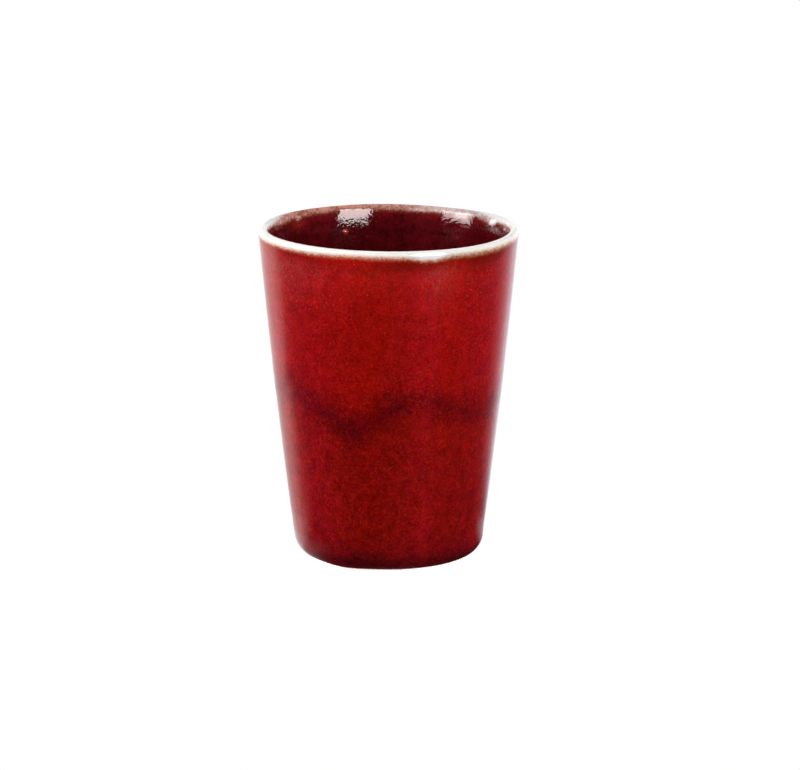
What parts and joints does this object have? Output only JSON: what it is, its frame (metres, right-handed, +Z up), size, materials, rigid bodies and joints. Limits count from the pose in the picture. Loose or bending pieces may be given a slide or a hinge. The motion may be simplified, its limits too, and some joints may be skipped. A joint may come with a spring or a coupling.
{
  "type": "ceramic tumbler",
  "caption": "Tapered handleless ceramic drinking tumbler with a rounded lip, turned foot ring and glossy oxblood glaze over a pale porcelain body.",
  "frame": {"origin": "centre of the foot ring's underside, on the vessel's axis", "axes": "+Z up along the axis from the foot to the lip; -Y is the front, the side the picture shows; +X to the right of that view"},
  "size_m": [0.0772, 0.0772, 0.1],
  "materials": {
    "porcelain": "fired clay, bare and matt on the foot ring",
    "liner_glaze": "gloss maroon liner, slightly rippled",
    "oxblood_lower": "gloss deep oxblood, finely mottled",
    "oxblood_upper": "gloss oxblood, finely mottled",
    "lip_glaze": "thin pale gloss, browning at its edges",
    "oxblood_base": "gloss deep oxblood"
  },
  "bodies": {
    "root": {"porcelain_body": "porcelain", "inner_glaze": "liner_glaze", "outer_glaze_lower": "oxblood_lower", "outer_glaze_upper": "oxblood_upper", "rim_glaze": "lip_glaze", "base_glaze": "oxblood_base"}
  },
  "joints": []
}
